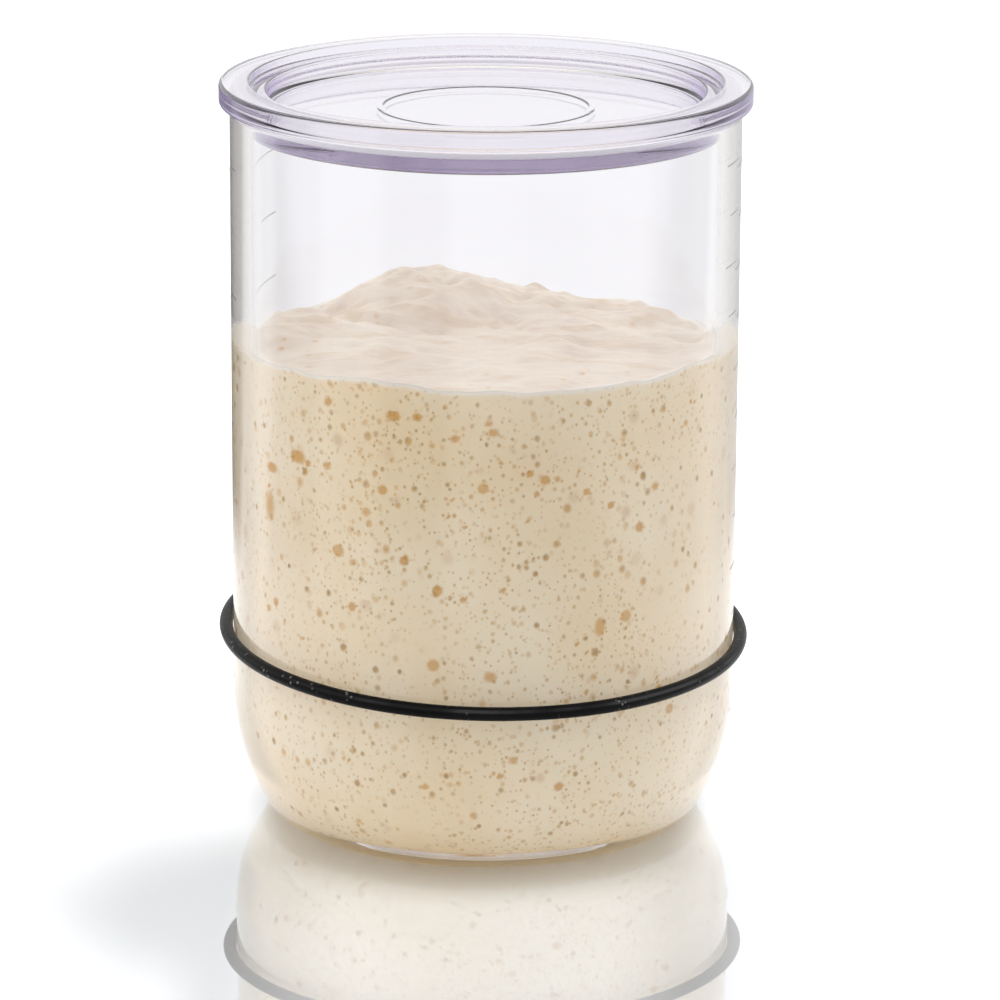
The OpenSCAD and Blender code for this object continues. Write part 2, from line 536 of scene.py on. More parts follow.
def backed(outline: list[Point], reach: float = 0.04) -> list[Point]:
    """Adds a point close beside each corner on a long stretch, so that flat faces stay flat when shaded smooth.

    Args:
        outline: The outline in millimetres.
        reach: How far from the corner the point lies.

    Returns:
        The outline with those points.
    """
    def way(a: Point, b: Point) -> float:
        """Direction from one point to the next."""
        return math.atan2(b[1] - a[1], b[0] - a[0])

    def bent(i: int) -> bool:
        """Whether the outline turns at a point.

        Args:
            i: The point's number.

        Returns:
            True if it turns by more than 3 degrees.
        """
        if i in (0, len(outline) - 1):
            return False
        turn = way(outline[i], outline[i + 1]) - way(outline[i - 1], outline[i])
        return abs((turn + math.pi) % (2 * math.pi) - math.pi) > math.radians(3)

    kept = [outline[0]]
    for i, (a, b) in enumerate(zip(outline, outline[1:])):
        length = math.dist(a, b)
        if length > 0.7:
            share = reach / length
            if bent(i):
                kept.append((a[0] + (b[0] - a[0]) * share, a[1] + (b[1] - a[1]) * share))
            if bent(i + 1):
                kept.append((b[0] + (a[0] - b[0]) * share, b[1] + (a[1] - b[1]) * share))
        kept.append(b)
    return kept


def turned(name: str, outline: list[Point], turns: int) -> bpy.types.Object:
    """Turns a half outline round the axis.

    Args:
        name: The new object's name.
        outline: (radius, height) in millimetres, counter-clockwise, with both ends on the axis.
        turns: Sides of a full turn.

    Returns:
        A closed smooth solid with its place in its mesh.
    """
    angle = np.linspace(0, 2 * math.pi, turns, endpoint=False)
    rings = [np.stack([r * np.cos(angle), r * np.sin(angle), np.full(turns, z)], 1)
             for r, z in backed(tidy(outline))]
    return as_object(name, skinned(rings))


def skinned(rings: list[np.ndarray]) -> bmesh.types.BMesh:
    """Joins rings of points into one closed skin.

    Args:
        rings: Places in millimetres, one row for each point; the first and last rings become single points.

    Returns:
        The skin, its faces outwards.
    """
    shape = bmesh.new()
    last = len(rings) - 1
    loops = [[shape.verts.new(Vector(p) * MM) for p in (ring[:1] if k in (0, last) else ring)]
             for k, ring in enumerate(rings)]
    turns = len(rings[0])
    for low, high in zip(loops, loops[1:]):
        for i in range(turns):
            j = (i + 1) % turns
            corners = [low[i % len(low)], low[j % len(low)], high[j % len(high)], high[i % len(high)]]
            shape.faces.new(list(dict.fromkeys(corners)))
    bmesh.ops.recalc_face_normals(shape, faces=shape.faces)
    return shape


def as_mesh(name: str, shape: bmesh.types.BMesh) -> bpy.types.Mesh:
    """Makes a mesh of a bmesh and frees it.

    Args:
        name: The new mesh's name.
        shape: The bmesh.

    Returns:
        The mesh.
    """
    mesh = bpy.data.meshes.new(name)
    shape.to_mesh(mesh)
    shape.free()
    return mesh


def as_object(name: str, shape: bmesh.types.BMesh) -> bpy.types.Object:
    """Makes a smooth object of a bmesh and frees it.

    Args:
        name: The new object's name.
        shape: The bmesh.

    Returns:
        The object, in the scene.
    """
    made = bpy.data.objects.new(name, as_mesh(name, shape))
    made.data.shade_smooth()
    bpy.context.scene.collection.objects.link(made)
    return made


def settle(name: str, body: str, nodes: tuple[str, ...], made: bpy.types.Object,
           material: bpy.types.Material | None = None) -> bpy.types.Object:
    """Dresses a finished piece, lets it ride on its body and reports it.

    Args:
        name: The piece's name.
        body: The CAD body that it moves with.
        nodes: CAD nodes that it stands for.
        made: The finished object.
        material: Its finish, unless the mesh has it already.

    Returns:
        The same object.
    """
    if material is not None:
        made.data.materials.clear()
        made.data.materials.append(material)
    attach(made, body)
    if nodes:
        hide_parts(*nodes)
    log.info("%s: %d faces on %s", name, len(made.data.polygons), body)
    return made


class Grower(Tree):
    """A geometry node tree that turns a named set of sizes into one plain mesh."""

    def __init__(self, name: str, sizes: dict[str, float | int], has_mesh: bool = False) -> None:
        """Makes the group with an input for each size.

        Args:
            name: The tree's name.
            sizes: Inputs by name; whole numbers become integer sockets.
            has_mesh: Whether the tree starts from the object's own mesh.
        """
        super().__init__(bpy.data.node_groups.new(name, "GeometryNodeTree"))
        self.sizes = sizes
        face = self.nodes.interface
        face.new_socket("Geometry", in_out="OUTPUT", socket_type="NodeSocketGeometry")
        if has_mesh:
            face.new_socket("Geometry", in_out="INPUT", socket_type="NodeSocketGeometry")
        self.slots = {
            key: face.new_socket(key, in_out="INPUT",
                                 socket_type="NodeSocketInt" if isinstance(value, int) else "NodeSocketFloat")
            for key, value in sizes.items()
        }
        self.entry = self.add("NodeGroupInput").socket.node

    def size(self, name: str) -> Wire:
        """The input of that name, or the mesh that comes in."""
        return Wire(self, self.entry.outputs[name])

    def grow(self, name: str, shape: Wire, material: bpy.types.Material,
             start: bpy.types.Mesh | None = None) -> bpy.types.Object:
        """Ends the tree, runs it and keeps its result as a plain mesh.

        Args:
            name: The new object's name.
            shape: The geometry that the tree has made.
            material: Its finish.
            start: The mesh that comes in, if the tree takes one.

        Returns:
            An object at the origin without modifiers.
        """
        real = self.add("GeometryNodeRealizeInstances", {}, {0: shape})
        dressed = self.add("GeometryNodeSetMaterial", {}, {"Geometry": real, "Material": material})
        self.add("NodeGroupOutput", {}, {0: dressed})
        host = bpy.data.objects.new(name, start or bpy.data.meshes.new(name))
        bpy.context.scene.collection.objects.link(host)
        modifier = host.modifiers.new(name, "NODES")
        modifier.node_group = self.nodes
        for key, value in self.sizes.items():
            modifier[self.slots[key].identifier] = value
        graph = bpy.context.evaluated_depsgraph_get()
        mesh = bpy.data.meshes.new_from_object(host.evaluated_get(graph), depsgraph=graph)
        host.modifiers.remove(modifier)
        host.data = mesh
        mesh.name = name
        mesh.shade_smooth()
        return host


# ---------------------------------------------------------------- the pieces


@dataclass
class GlassJar:
    """The pressed glass jar in millimetres; its rim ends a hair below the flange that lies on it."""

    wall_r: float = 48.0
    height: float = 137.97
    wall: float = 4.0
    floor: float = 4.0
    side_r: float = 45.0
    foot: Point = (37.0, 6.0)
    corner_r: float = 9.0
    land: float = 33.0
    rise: float = 1.2
    rim_out: float = 1.4
    rim_in: float = 1.1
    # Where the starter's rows on the plain wall begin, and how far apart they are
    straight_z: float = 27.0
    row: float = 0.62
    turns: int = 288

    @property
    def bore(self) -> float:
        """Radius of the inside."""
        return self.wall_r - self.wall

    @property
    def side_centre(self) -> Point:
        """Centre of the long heel curve, level with the start of the straight wall."""
        x = self.wall_r - self.side_r
        return x, self.foot[1] + math.sqrt((self.side_r - self.foot[1]) ** 2 - (self.foot[0] - x) ** 2)

    @property
    def corner(self) -> Point:
        """Centre of the inside corner, which meets the long curve and the floor smoothly.

        Returns:
            Its distance from the axis and its height.
        """
        x, z = self.side_centre
        high = self.floor + self.corner_r
        return x + math.sqrt((self.side_r - self.wall - self.corner_r) ** 2 - (z - high) ** 2), high

    def heel_angle(self, corner: Point) -> float:
        """Direction in degrees in which the long curve meets the tight one with that centre."""
        return math.degrees(math.atan2(corner[1] - self.side_centre[1], corner[0] - self.side_centre[0]))

    def outside(self) -> list[Point]:
        """The outline from the middle of the hollow foot up to the outer edge of the rim.

        Returns:
            Points in millimetres.
        """
        hollow_r = (self.land ** 2 + self.rise ** 2) / (2 * self.rise)
        lean = math.degrees(math.asin(self.land / hollow_r))
        meet = self.heel_angle(self.foot)
        return (
            [(0.0, self.rise)]
            + arc((0, self.rise - hollow_r), hollow_r, 90, 90 - lean, 16)[1:]
            + arc(self.foot, self.foot[1], -90, meet, 14)
            + arc(self.side_centre, self.side_r, meet, 0, 28)
            + line((self.wall_r, 30), (self.wall_r, self.height - self.rim_out), 12)
            + arc((self.wall_r - self.rim_out, self.height - self.rim_out), self.rim_out, 0, 90, 8)
        )

    def inside(self, top: float, grow: float = 0.0) -> list[Point]:
        """The outline of the cavity from the middle of its floor up the wall.

        Args:
            top: Where it ends.
            grow: How far it reaches into the glass.

        Returns:
            Points in millimetres.
        """
        meet = self.heel_angle(self.corner)
        return (
            line((0, self.floor - grow), (self.corner[0], self.floor - grow), 20)
            + arc(self.corner, self.corner_r + grow, -90, meet, 18)
            + arc(self.side_centre, self.side_r - self.wall + grow, meet, 0, 24)
            + line((self.bore + grow, self.straight_z), (self.bore + grow, top),
                   max(2, round((top - self.straight_z) / self.row)))
        )

    def build(self, material: bpy.types.Material) -> bpy.types.Object:
        """Builds the jar as one closed solid.

        Args:
            material: The glass.

        Returns:
            The finished piece.
        """
        lip = arc((self.bore + self.rim_in, self.height - self.rim_in), self.rim_in, 90, 180, 7)
        inner = self.inside(27.2) + line((self.bore, 30), (self.bore, self.height - self.rim_in), 12)
        outline = self.outside() + lip + inner[::-1]
        made = turned("jar_glass_body", outline, self.turns)
        return settle("jar_glass_body", "root", ("glass_jar",), made, material)


class ScaleSide(Enum):
    """The two printed scales: where each is and how its ticks run, in degrees from the front and millimetres."""

    RIGHT = {"long": 77.0, "short": 80.0, "end": 88.0, "short_end": 88.0,
             "low": 21.4, "pitch": 9.7, "count": 12, "first_long": 1}
    LEFT = {"long": -112.0, "short": -112.0, "end": -84.0, "short_end": -100.0,
            "low": 26.8, "pitch": 12.35, "count": 9, "first_long": 0}


@dataclass
class PrintedScale:
    """One scale of fine ticks that lies on the outside of the glass."""

    side: ScaleSide
    radius: float = 48.02
    thick: float = 0.06
    wide: float = 0.27

    def build(self, material: bpy.types.Material) -> bpy.types.Object:
        """Builds all ticks of the scale as one mesh.

        Args:
            material: The enamel.

        Returns:
            The finished piece.
        """
        plan, name = self.side.value, f"scale_{self.side.name.lower()}"
        tree = Grower(f"{name}_ticks", {
            "Radius": self.radius * MM, "Thickness": self.thick * MM, "Width": self.wide * MM,
            "Lowest": plan["low"] * MM, "Pitch": plan["pitch"] * MM, "Count": plan["count"],
            "Long start": plan["long"], "Long end": plan["end"],
            "Short start": plan["short"], "Short end": plan["short_end"], "First long": plan["first_long"],
        })
        rule = tree.add("GeometryNodeMeshLine", {"mode": "OFFSET"}, {
            "Count": tree.size("Count"), "Start Location": tree.upwards(tree.size("Lowest")),
            "Offset": tree.upwards(tree.size("Pitch")),
        })
        is_long = (tree.add("GeometryNodeInputIndex") + tree.size("First long")).maths("MODULO", 2.0)
        joined = [tree.add("GeometryNodeInstanceOnPoints", {},
                           {"Points": rule, "Selection": chosen, "Instance": self._tick(tree, kind)})
                  for kind, chosen in (("Long", 1 - is_long), ("Short", is_long))]
        both = tree.add("GeometryNodeJoinGeometry", {}, {0: joined[0]})
        tree.nodes.links.new(joined[1].socket, both.socket.node.inputs[0])
        return settle(name, "root", (), tree.grow(name, both, material))

    @staticmethod
    def _tick(tree: Grower, kind: str) -> Wire:
        """One tick, bent round the glass between two directions.

        Args:
            tree: The scale's tree.
            kind: Which sizes it takes, "Long" or "Short".

        Returns:
            Its geometry.
        """
        start, end = tree.size(f"{kind} start"), tree.size(f"{kind} end")
        bar = tree.add("GeometryNodeMeshCube", {},
                       {"Size": (1.0, 1.0, 1.0), "Vertices X": 16, "Vertices Y": 2, "Vertices Z": 2})
        along, out, up = tree.split(tree.add("GeometryNodeInputPosition"))
        turn = (start + (along + 0.5) * (end - start)) * math.radians(1)
        reach = tree.size("Radius") + out * tree.size("Thickness")
        bent = tree.add("ShaderNodeCombineXYZ", {}, {
            0: turn.maths("SINE") * reach, 1: turn.maths("COSINE") * reach * -1.0, 2: up * tree.size("Width"),
        })
        return tree.add("GeometryNodeSetPosition", {}, {"Geometry": bar, "Position": bent})


@dataclass
class Lid:
    """The clear moulded lid with its plug, stepped recess and raised ring, in millimetres."""

    low: float = 138.0
    top: float = 142.2
    flange_r: float = 50.0
    edge: float = 0.8
    plug_r: float = 43.65
    plug_low: float = 133.2
    recess_r: float = 41.05
    step_r: float = 44.25
    step_z: float = 140.6
    panel_top: float = 137.1
    fine: float = 0.5
    corner: float = 1.2
    ring_r: float = 19.8
    ring_h: float = 0.07
    ring_cord: float = 3.5
    turns: int = 288

    def outline(self) -> list[Point]:
        """The half outline, from the flat underside round the plug and flange to the top of the panel.

        Returns:
            Points in millimetres.
        """
        e, f, c, cord = self.edge, self.fine, self.corner, self.ring_cord
        ring_z = self.panel_top + self.ring_h - cord
        spread = math.degrees(math.asin((self.panel_top - ring_z) / cord))
        return (
            line((0, self.plug_low), (self.plug_r - 2 * f, self.plug_low), 6)
            + arc((self.plug_r - 2 * f, self.plug_low + 2 * f), 2 * f, -90, 0, 8)
            + [(self.plug_r, self.low)]
            + arc((self.flange_r - e, self.low + e), e, -90, 0, 8)
            + arc((self.flange_r - e, self.top - e), e, 0, 90, 8)
            + arc((self.step_r + f, self.top - f), f, 90, 180, 6)
            + arc((self.step_r - f, self.step_z + f), f, 0, -90, 6)
            + arc((self.recess_r + f, self.step_z - f), f, 90, 180, 6)
            + arc((self.recess_r - c, self.panel_top + c), c, 0, -90, 8)
            + arc((self.ring_r, ring_z), cord, spread, 180 - spread, 12)
            + line((self.ring_r - 1, self.panel_top), (0, self.panel_top), 6)
        )

    def build(self, material: bpy.types.Material) -> bpy.types.Object:
        """Builds the lid as one closed solid.

        Args:
            material: The clear plastic.

        Returns:
            The finished piece.
        """
        made = turned("lid_moulding", self.outline(), self.turns)
        return settle("lid_moulding", "lid", ("lid",), made, material)


@dataclass
class LevelBand:
    """The round rubber band, tilted as it lies on the glass, in millimetres and degrees."""

    radius: float = 49.38
    cord: float = 1.3
    height: float = 35.85
    tilt: float = 2.63
    high_side: float = 113.5
    waviness: float = 0.12
    ring_points: int = 320
    cord_points: int = 28

    def build(self, material: bpy.types.Material) -> bpy.types.Object:
        """Builds the band as a cord that follows a tilted ring.

        Args:
            material: The rubber.

        Returns:
            The finished piece.
        """
        tree = Grower("band_ring", {
            "Ring radius": self.radius * MM, "Cord radius": self.cord * MM, "Height": self.height * MM,
            "Waviness": self.waviness * MM, "Seed": SEED,
        })
        ring, cord = (tree.add("GeometryNodeCurvePrimitiveCircle", {"mode": "RADIUS"},
                               {"Resolution": points, "Radius": tree.size(f"{kind} radius")})
                      for kind, points in (("Ring", self.ring_points), ("Cord", self.cord_points)))
        wander = tree.add("ShaderNodeTexNoise", {"noise_dimensions": "4D"}, {
            "Vector": tree.add("GeometryNodeInputPosition"), "W": tree.size("Seed"), "Scale": 26.0, "Detail": 1.0,
        })
        rise = (wander - 0.5) * tree.size("Waviness") * 2.0
        ring = tree.add("GeometryNodeSetPosition", {}, {"Geometry": ring, "Offset": tree.upwards(rise)})
        tube = tree.add("GeometryNodeCurveToMesh", {}, {"Curve": ring, "Profile Curve": cord})
        towards = Euler((0, 0, math.radians(self.high_side))).to_matrix()
        lean = towards @ Matrix.Rotation(-math.radians(self.tilt), 3, "Y")
        tilted = tree.add("GeometryNodeTransform", {}, {
            "Geometry": tube, "Rotation": lean.to_euler(), "Translation": tree.upwards(tree.size("Height")),
        })
        made = tree.grow("level_band_cord", tilted, material)
        return settle("level_band_cord", "band", ("level_band",), made)


@dataclass
class Starter:
    """The risen starter: it fills the jar, clings to the glass and has a lumpy top, in millimetres."""

    jar: GlassJar
    level: float = 93.6
    columns: int = 448
    rings: int = 53
    sink: float = 0.02
    # How far the top lies under the level, mounds aside, and how near the glass it bends to its edge
    dip: float = 0.9
    cling: float = 2.2
    # The paler band under the edge: its height, and how far from the axis it and the bubbles' marks begin
    pale_band_h: float = 1.3
    pale_band_r: float = 42.7
    mark_r: float = 43.0
    # Direction and distance from the axis, height and width
    mounds: tuple = (
        (116, 27, 6.4, 46), (62, 15, 2.6, 50), (20, 25, 2.2, 37), (205, 20, 1.9, 41), (300, 16, 1.2, 46),
        (174, 39, 4.2, 34),
    )
    # Size, height and number of lumps
    lumps: tuple = ((11, 0.8, 60), (5, 0.6, 260), (2.6, 0.42, 900), (1.6, 0.3, 1300))
    # Waves in a full turn of the edge on the glass, and their height
    waves: tuple = (
        (1, 0.40), (2, 0.32), (3, 0.24), (5, 0.24), (8, 0.20), (13, 0.16), (21, 0.12), (34, 0.08),
    )
    # Where that edge climbs or drops: degrees from the front, height, half width in degrees
    rises: tuple = (
        (-84, 1.9, 8), (-104, 0.9, 12), (86, 1.9, 7), (120, -2.0, 14), (148, -1.3, 14), (159, -1.9, 8),
    )
    # The biggest bubbles against the glass: degrees from the front, height, half width, half height, strength
    blisters: tuple = (
        (-59.2, 66.1, 2.0, 3.8, 0.7), (-48.2, 77.3, 2.4, 1.6, 1.0), (-58.2, 73.6, 2.1, 1.3, 1.0),
        (-38.9, 76.9, 1.2, 1.0, 0.8), (28.3, 47.7, 1.3, 2.3, 1.0), (-10.6, 55.8, 1.1, 1.3, 1.3),
        (0.9, 65.8, 2.8, 2.4, 0.22), (-28.1, 69.5, 1.1, 1.2, 0.8), (2.2, 85.9, 1.2, 1.0, 1.0),
        (7.3, 23.5, 1.2, 1.0, 0.8), (-21.2, 88.2, 1.7, 1.1, 1.2), (-15.4, 88.4, 1.2, 0.9, 1.1),
        (-6.5, 84.7, 1.0, 1.0, 1.0), (1.2, 87.6, 1.0, 0.8, 0.9), (-47.5, 72.6, 1.1, 1.4, 0.6),
        (37.1, 77.7, 1.9, 1.6, 0.4), (43.6, 72.8, 1.2, 1.0, 0.9), (1.8, 39.6, 1.5, 1.3, 0.9),
        (-10.6, 32.6, 1.1, 1.0, 0.7), (-31.6, 59.5, 1.1, 1.0, 0.7), (-23.0, 62.9, 1.0, 1.2, 0.7),
        (-32.4, 65.6, 0.9, 1.2, 0.5), (13.0, 81.0, 11.0, 8.0, 0.17),
    )

    def rough_top(self, x: np.ndarray, y: np.ndarray) -> np.ndarray:
        """Height of the surface over the level at places in the jar.

        Args:
            x: Places along X in millimetres.
            y: Places along Y in millimetres.

        Returns:
            Heights in millimetres.
        """
        height = np.zeros_like(x)
        for direction, distance, tall, wide in self.mounds:
            way = math.radians(direction)
            far = np.hypot(x - distance * math.cos(way), y - distance * math.sin(way)) / (wide / 2)
            height = np.maximum(height, tall * np.clip(1 - far ** 2, 0, None))
        rng = np.random.default_rng(SEED)
        lumps = np.zeros_like(x)
        for size, amount, count in self.lumps:
            angle = rng.uniform(0, 2 * math.pi, count)
            spread = self.jar.bore * np.sqrt(rng.uniform(0, 1, count))
            for a, s, k in zip(angle, spread, rng.uniform(-1, 1, count)):
                far2 = ((x - s * math.cos(a)) / 1.6) ** 2 + (y - s * math.sin(a)) ** 2
                lumps += amount * k * np.exp(-far2 / (size * 0.5) ** 2)
        return height + lumps * (1.15 + 0.55 * np.tanh(y / 12))

    def shell(self) -> bpy.types.Mesh:
        """The closed skin of the starter: floor, side and top on one set of columns.

        Returns:
            A mesh with its place in its vertices, and with its paler band and main bubbles marked.
        """
        angle = np.linspace(0, 2 * math.pi, self.columns, endpoint=False)
        edge = self.edge(angle)
        start = self.jar.straight_z
        rows: list[np.ndarray] = []
        for r, z in tidy(self.jar.inside(self.level, self.sink)):
            lift = np.clip((z - start) / (self.level - start), 0, 1)
            rows.append(np.stack([r * np.cos(angle), r * np.sin(angle), z + lift * (edge - self.level)], 1))
        wall_r = self.jar.bore + self.sink
        for i in range(1, self.rings + 1):
            r = wall_r * (1 - i / self.rings)
            x, y = r * np.cos(angle), r * np.sin(angle)
            z = self.level - self.dip + self.rough_top(x, y)
            rows.append(np.stack([x, y, z + (edge - z) * np.exp(-((wall_r - r) / self.cling))], 1))
        mesh = as_mesh("starter_shell", skinned(rows))
        places = np.empty(len(mesh.vertices) * 3, np.float32)
        mesh.vertices.foreach_get("co", places)
        spots = places.reshape(-1, 3) / MM
        top = self.edge(np.arctan2(spots[:, 1], spots[:, 0]))
        pale_band = np.clip(1 - (top - spots[:, 2]) / self.pale_band_h, 0, 1)
        pale_band = pale_band * (np.hypot(spots[:, 0], spots[:, 1]) > self.pale_band_r)
        for name, values in (("blister", self._mark(spots)), ("pale_band", pale_band)):
            mesh.attributes.new(name, "FLOAT", "POINT").data.foreach_set("value", values.astype(np.float32))
        return mesh

    def _mark(self, places: np.ndarray) -> np.ndarray:
        """How strongly places lie inside a main bubble.

        Args:
            places: Rows of X, Y and Z in millimetres.

        Returns:
            A strength for each place.
        """
        turn = np.degrees(np.arctan2(places[:, 0], -places[:, 1]))
        outside = np.hypot(places[:, 0], places[:, 1]) > self.mark_r
        mark = np.zeros(len(places))
        for azimuth, height, wide, tall, strength in self.blisters:
            across = np.radians(apart(turn, azimuth)) * self.jar.bore / wide
            inside = np.clip(1 - np.hypot(across, (places[:, 2] - height) / tall) ** 2, 0, 1) * outside
            mark = np.maximum(mark, inside * strength)
        return mark

    def edge(self, angle: np.ndarray) -> np.ndarray:
        """Where the starter's edge lies on the glass.

        Args:
            angle: Directions in radians from +X towards +Y.

        Returns:
            Heights in millimetres.
        """
        rng = np.random.default_rng(SEED + 1)
        height = np.full_like(angle, self.level)
        for count, size in self.waves:
            height += size * np.sin(count * angle + rng.uniform(0, 2 * math.pi))
        turn = np.degrees(np.arctan2(np.cos(angle), -np.sin(angle)))
        for azimuth, tall, wide in self.rises:
            height += tall * np.exp(-(apart(turn, azimuth) / wide) ** 2)
        return height

    def build(self, material: bpy.types.Material) -> bpy.types.Object:
        """Builds the starter and marks seeded small bubbles on its side, each with a slight dent.

        Args:
            material: The dough.

        Returns:
            The finished piece.
        """
        tree = Grower("bubbles", {
            "Density": 7000.0, "Smallest": 0.5 * MM, "Largest": 1.6 * MM, "Depth": 0.02, "Seed": SEED,
        }, has_mesh=True)
        skin, seed, smallest = (tree.size(name) for name in ("Geometry", "Seed", "Smallest"))
        normal = tree.add("GeometryNodeInputNormal")
        place = tree.add("GeometryNodeInputPosition")
        is_side = abs(tree.split(normal)[2]).maths("LESS_THAN", 0.2)
        spots = tree.add("GeometryNodeDistributePointsOnFaces", {"distribute_method": "RANDOM"}, {
            "Mesh": skin, "Selection": is_side, "Density": tree.size("Density"), "Seed": seed,
        })
        chance = tree.add("FunctionNodeRandomValue", {"data_type": "FLOAT"}, {"Min": 0.0, "Max": 1.0, "Seed": seed}, 1)
        wide = smallest + (tree.size("Largest") - smallest) * chance.maths("POWER", 3.0)
        near = tree.add("GeometryNodeSampleNearest", {"domain": "POINT"}, {"Geometry": spots})
        centre, radius = (
            tree.add("GeometryNodeSampleIndex", {"data_type": kind, "domain": "POINT"},
                     {"Geometry": spots, "Value": value, "Index": near})
            for kind, value in (("FLOAT_VECTOR", place), ("FLOAT", wide)))
        inside = (1 - tree.vector("DISTANCE", place, centre, output="Value") / radius).most(0.0)
        depth = inside.maths("POWER", 0.6) * radius * tree.size("Depth") * is_side
        stored = tree.add("GeometryNodeStoreNamedAttribute", {"data_type": "FLOAT", "domain": "POINT"},
                          {"Geometry": skin, "Name": "bubble", "Value": inside * is_side})
        push = tree.add("ShaderNodeVectorMath", {"operation": "SCALE"}, {0: normal, "Scale": depth * -1.0})
        dented = tree.add("GeometryNodeSetPosition", {}, {"Geometry": stored, "Offset": push})
        made = tree.grow("starter_dough", dented, material, self.shell())
        return settle("starter_dough", "root", ("sourdough_starter",), made)


# ---------------------------------------------------------------- camera, light and floor


@dataclass
class Studio:
    """The photograph's camera, a plain pale floor and soft light; the camera's sizes are in millimetres."""

    lens: float = 180.64
    sensor: float = 36.0
    spot: tuple[float, float, float] = (3.05, -923.8, 317.0)
    pitch: float = 15.504
    roll: float = 0.344
    level: float = 2.0
    front_drop: float = 1.40
    floor_half: float = 12.0
    floor_lift: float = 0.27
    lean: float = 0.042
    seam_tone: Colour = (0.10, 0.09, 0.08, 1.0)
    cloth_tone: Colour = (0.965, 0.960, 1.0, 1.0)
    gloss_tone: Colour = (0.93, 0.965, 1.0, 1.0)
    board_tone: Colour = (0.55, 0.55, 0.55, 1.0)
    glow_tone: Colour = srgb(214, 196, 164)

    def camera(self) -> None:
        """Sets the scene's camera."""
        data = bpy.data.cameras.new("front_camera")
        data.lens, data.sensor_width, data.clip_start, data.clip_end = self.lens, self.sensor, 0.01, 50.0
        made = bpy.data.objects.new("front_camera", data)
        bpy.context.scene.collection.objects.link(made)
        down, aside = (Matrix.Rotation(math.radians(angle), 4, axis)
                       for angle, axis in ((90 - self.pitch, "X"), (self.roll, "Z")))
        made.matrix_world = Matrix.Translation(Vector(self.spot) * MM) @ (down @ aside)
        bpy.context.scene.camera = made

    @staticmethod
    def seams(tree: Tree, x: Wire, y: Wire, mirrored: Wire | float = 0.0) -> Wire:
        """Dark upright seams of the tent, deeper on the left, which glass shows in its edges.

        Args:
            tree: The tree that they are added to.
            x: Direction along X.
            y: Direction along Y.
            mirrored: 1 for the seams that a mirror shows, 0 for those seen through glass.

        Returns:
            How dark a direction is, from 0 to 1.
        """
        first, shift, apart_seen, apart_mirrored, fade, end = (math.radians(a) for a in (19, 8, 72, 60, 60, 75))
        angle = x.maths("ARCTAN2", y)
        left = x.maths("LESS_THAN", 0.0)
        turn = (abs(angle) + first - left * shift) / apart_seen
        off = abs(turn.maths("FRACT") - 0.5) - left * 0.07
        seen = off.step(0.12, 0.05) * abs(angle).step(end, fade) * 0.15
        wide = angle / apart_mirrored
        shown = abs(wide.maths("FRACT") - 0.5).step(0.32, 0.16) * (0.30 + left * 0.70)
        return seen * (1 - mirrored) + shown * mirrored

    def floor(self) -> None:
        """Lays a wide pale floor that shows white to the camera and keeps the object's shadow and reflection."""
        shape = bmesh.new()
        bmesh.ops.create_grid(shape, x_segments=1, y_segments=1, size=self.floor_half)
        made = as_object("studio_floor", shape)
        material = bpy.data.materials.new("pale_floor")
        tree = ShaderTree(material)
        place = tree.place()
        x, y, _ = tree.split(place)
        reach = tree.vector("LENGTH", place, output="Value")
        seen, bent, glossy, bounced = tree.rays("Camera", "Transmission", "Glossy", "Diffuse")
        mirrored = glossy * (1 - bent)
        board = tree.body(self.board_tone, 0.7, {"Specular IOR Level": 0.2})
        gloss = tree.add("ShaderNodeBsdfGlossy", {}, {
            "Color": self.gloss_tone, "Roughness": 0.002, "Normal": tree.bump(y * self.lean, 1.0)})
        lift = tree.add("ShaderNodeEmission", {}, {
            "Color": WHITE, "Strength": (seen + mirrored) * self._lift(x, y, reach)
            + bounced * reach.step(0.12, 0.05) * 0.25})
        glow = tree.add("ShaderNodeEmission", {}, {
            "Color": self.glow_tone, "Strength": bent * reach.step(0.16, 0.10) * 1.7})
        lit = tree.blend(0.50, board, gloss)
        for light in (lift, glow):
            lit = tree.add("ShaderNodeAddShader", {}, {0: lit, 1: light})
        cloth = tree.mix((y / (reach + 0.001)).step(0.86, 0.95), WHITE, self.cloth_tone)
        tent = tree.add("ShaderNodeEmission", {}, {
            "Color": tree.mix(self.seams(tree, x, y, mirrored), cloth, self.seam_tone), "Strength": 1.0})
        tree.finish(tree.blend((bent + mirrored) * reach.step(0.15, 0.26), lit, tent))
        made.data.materials.append(material)

    def _lift(self, x: Wire, y: Wire, reach: Wire) -> Wire:
        """How much the floor is lifted towards white where the photograph's is, around the object's shadow.

        Args:
            x: Place along X in metres.
            y: Place along Y in metres.
            reach: Distance from the middle.

        Returns:
            The strength of the light that the floor adds.
        """
        front = (y / (reach + 0.001)).step(-0.1, -0.7)
        middle = (1 - abs(x).step(0.020, 0.045) * 0.7) * (1 - x.step(-0.040, -0.048) * 0.6)
        beside = (1 - front) * reach.step(0.038, 0.050) * 0.36
        right = x.step(0.034, 0.052) * 0.20
        outer = abs(x).step(0.044, 0.060) * reach.step(0.090, 0.130) * 0.28
        far_left = x.step(-0.060, -0.085) * 0.16
        before = front * reach.step(0.040, 0.062) * middle * self.floor_lift
        return beside + right + outer + far_left + before

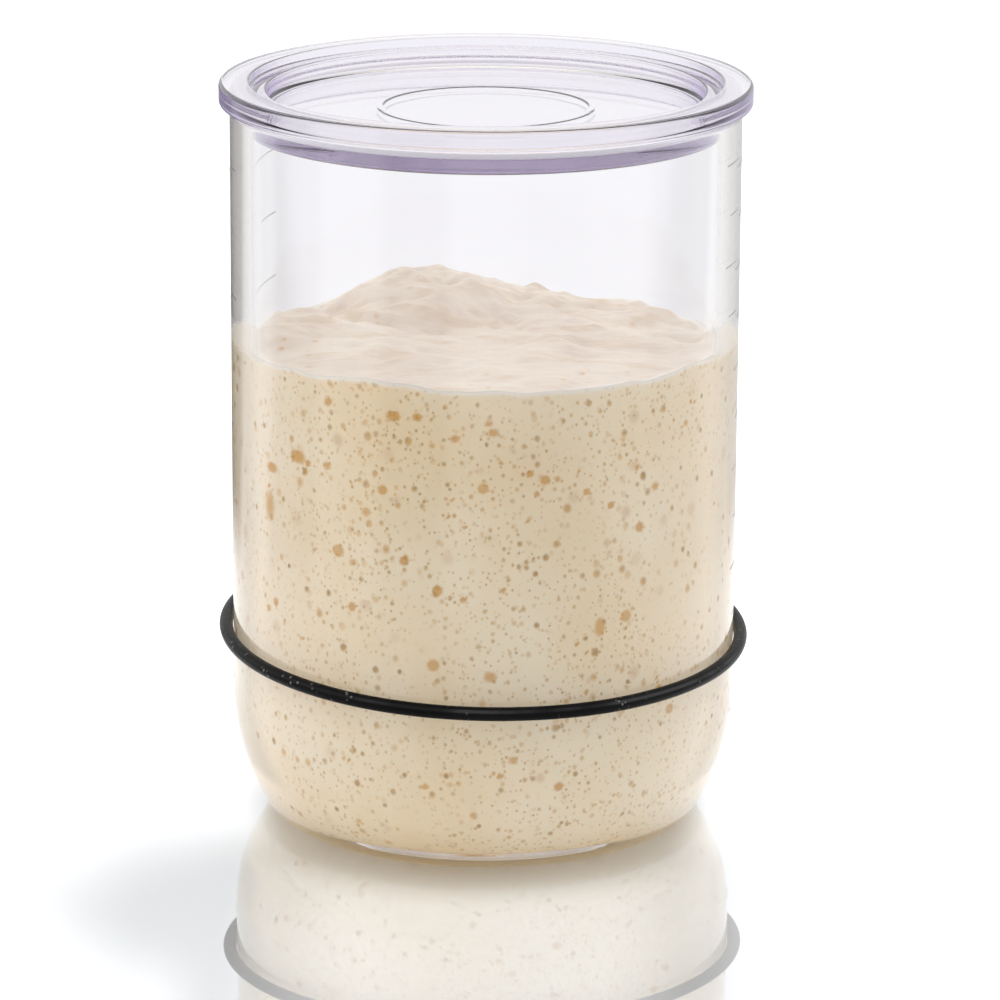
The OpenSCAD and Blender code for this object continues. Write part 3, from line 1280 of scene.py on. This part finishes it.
    def sky(self) -> None:
        """Surrounds the object with plain white, dim towards the camera, that glass sees with dark seams."""
        world = bpy.data.worlds.new("soft_tent")
        bpy.context.scene.world = world
        world.use_nodes = True
        tree = Tree(world.node_tree)
        x, y, z = tree.split(tree.add("ShaderNodeTexCoord", {}, {}, "Generated"))
        seam = self.seams(tree, x, y) * z.step(0.85, 0.5)
        front = (x * 0.34 - y * 0.94).most(0.0)
        level = (self.level - front * self.front_drop) * (1 - z.most(0.0) * 0.5)
        clean, tent, soft = (
            tree.add("ShaderNodeBackground", {}, {"Color": colour, "Strength": strength})
            for colour, strength in ((WHITE, 1.0), (tree.mix(seam, WHITE, self.seam_tone), 1.0), (WHITE, level)))
        seen, bent, mirrored = tree.rays("Camera", "Transmission", "Glossy")
        shown = tree.blend(seen, tree.blend(bent, tree.blend(mirrored, soft, clean), tent), clean)
        tree.add("ShaderNodeOutputWorld", {}, {"Surface": shown})

    @staticmethod
    def lamp(name: str, spot: tuple[float, float, float], size: float, power: float) -> None:
        """Hangs one soft square lamp that looks at the jar.

        Args:
            name: The lamp's name.
            spot: Where it hangs, in metres.
            size: Its side, in metres.
            power: Its power in watts.
        """
        data = bpy.data.lights.new(name, "AREA")
        data.shape, data.size, data.energy = "SQUARE", size, power
        made = bpy.data.objects.new(name, data)
        made.visible_glossy = made.visible_transmission = False
        bpy.context.scene.collection.objects.link(made)
        place, aim = Vector(spot), Vector((0, 0, 0.07))
        turn = (aim - place).to_track_quat("-Z", "Y").to_matrix().to_4x4()
        made.matrix_world = Matrix.Translation(place) @ turn

    def build(self) -> None:
        """Sets up the camera, the floor, the surroundings and the lamp."""
        self.camera()
        self.floor()
        self.sky()
        self.lamp("side_lamp", (0.85, 0.25, 0.75), 0.5, 1.6)
        bpy.context.scene.view_settings.view_transform = "Standard"


def main() -> None:
    """Builds the studio and the jar's pieces in order."""
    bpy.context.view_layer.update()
    Studio().build()
    glass = ClearFinish(
        "clear_glass", 1.5, (0.61, 0.59, 0.66, 1.0), 9.0, rim=srgb(224, 220, 214), rim_left_painted_shade=srgb(204, 201, 195),
        veil=srgb(240, 234, 224), veil_share=0.06, turn_from=0.54, turn_to=0.70, outside_r=46.5, lip_z=137.0,
        smear_z=93.6, ripple=0.02 * MM)
    plastic = ClearFinish(
        "clear_violet_plastic", 1.49, (0.577, 0.487, 0.68, 1.0), 27.0, rim=srgb(226, 218, 238),
        rim_left_painted_shade=srgb(218, 206, 236), veil=srgb(204, 190, 230), veil_share=0.5, turn_from=0.35, turn_to=0.9,
        upright=True)
    jar = GlassJar()
    jar.build(glass.material())
    enamel = EnamelFinish().material()
    for side in ScaleSide:
        PrintedScale(side).build(enamel)
    Starter(jar).build(DoughFinish().material())
    LevelBand().build(RubberFinish().material())
    Lid().build(plastic.material())


if __name__ == "__main__":
    main()
